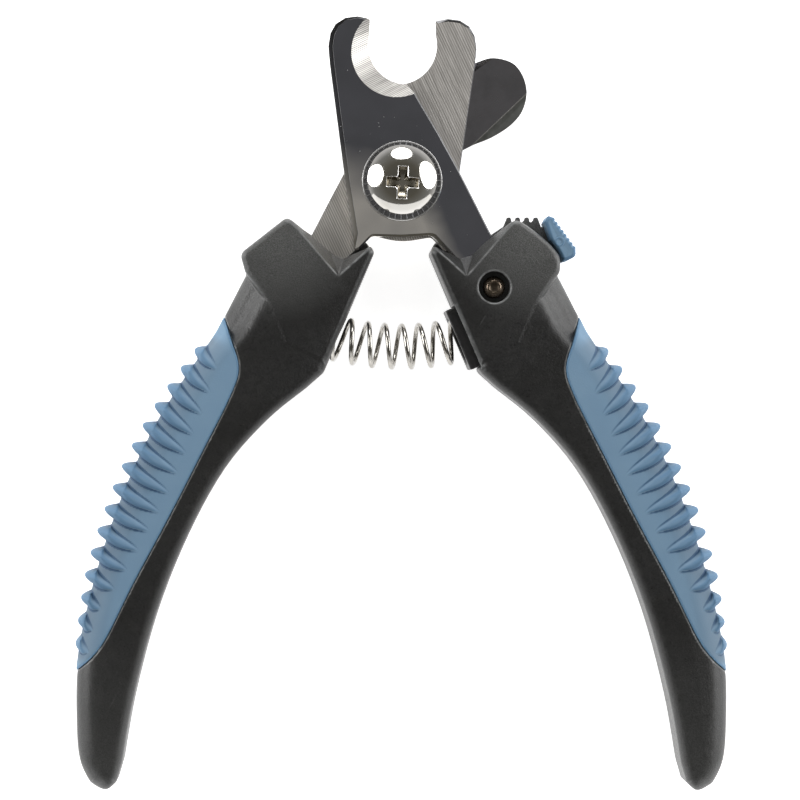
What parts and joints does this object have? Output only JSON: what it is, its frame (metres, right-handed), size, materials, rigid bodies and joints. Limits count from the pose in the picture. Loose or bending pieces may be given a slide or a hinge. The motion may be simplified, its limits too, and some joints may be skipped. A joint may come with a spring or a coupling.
{
  "type": "scissor nail clipper",
  "caption": "Plier-style pet nail clipper with notched crossing blades, bowed rubber-grip handles, coil return spring, swing-out nail guard and thumb lock lever.",
  "frame": {"origin": "bottom centre of the object's box, clipper lying open on its back", "axes": "+Y from the handle tips towards the blade hooks, +Z out of the front face, +X towards the handle that carries the lock"},
  "size_m": [0.1261, 0.1503, 0.015],
  "materials": {
    "polished_blade_steel": "mirror-polished stainless steel",
    "ground_blade_steel": "stainless steel with parallel grinding lines",
    "chrome_plate": "bright nickel-chrome plate",
    "dark_steel": "dark polished steel",
    "spring_steel": "bright drawn spring wire",
    "handle_plastic": "black moulded plastic with a fine grain, lighter where worn",
    "grip_rubber": "soft satin blue-grey overmoulded rubber",
    "pad_plastic": "satin blue moulded plastic"
  },
  "bodies": {
    "right_half": {"front_blade": "polished_blade_steel", "right_handle": "handle_plastic", "right_grip": "grip_rubber", "pivot_screw": "chrome_plate", "tooth_washer": "chrome_plate", "wave_washer": "dark_steel", "pivot_nut": "dark_steel", "spring_seat": "handle_plastic", "handle_spring": "spring_steel", "lock_screw": "dark_steel", "lock_washer": "dark_steel"},
    "left_half": {"rear_blade": "ground_blade_steel", "left_handle": "handle_plastic", "left_grip": "grip_rubber"},
    "guard": {"nail_guard": "dark_steel"},
    "lock": {"lock_lever": "handle_plastic", "lock_thumb_pad": "pad_plastic"}
  },
  "joints": [
    {"name": "handle_pivot", "type": "hinge", "parent": "right_half", "child": "left_half", "pos_m": [0, 0.0432, 0.0075], "axis": [0, 0, 1], "range_deg": [0, 39], "stiffness_Nm_per_rad": 1, "springref_deg": -11.46, "deforming": ["handle_spring"]},
    {"name": "guard_pivot", "type": "hinge", "parent": "right_half", "child": "guard", "pos_m": [0, 0.0432, 0.0037], "axis": [0, 0, 1], "range_deg": [-15, 47]},
    {"name": "lock_pivot", "type": "hinge", "parent": "right_half", "child": "lock", "pos_m": [0.0177, 0.0223, 0.0061], "axis": [0, 0, 1], "range_deg": [0, 34]}
  ]
}
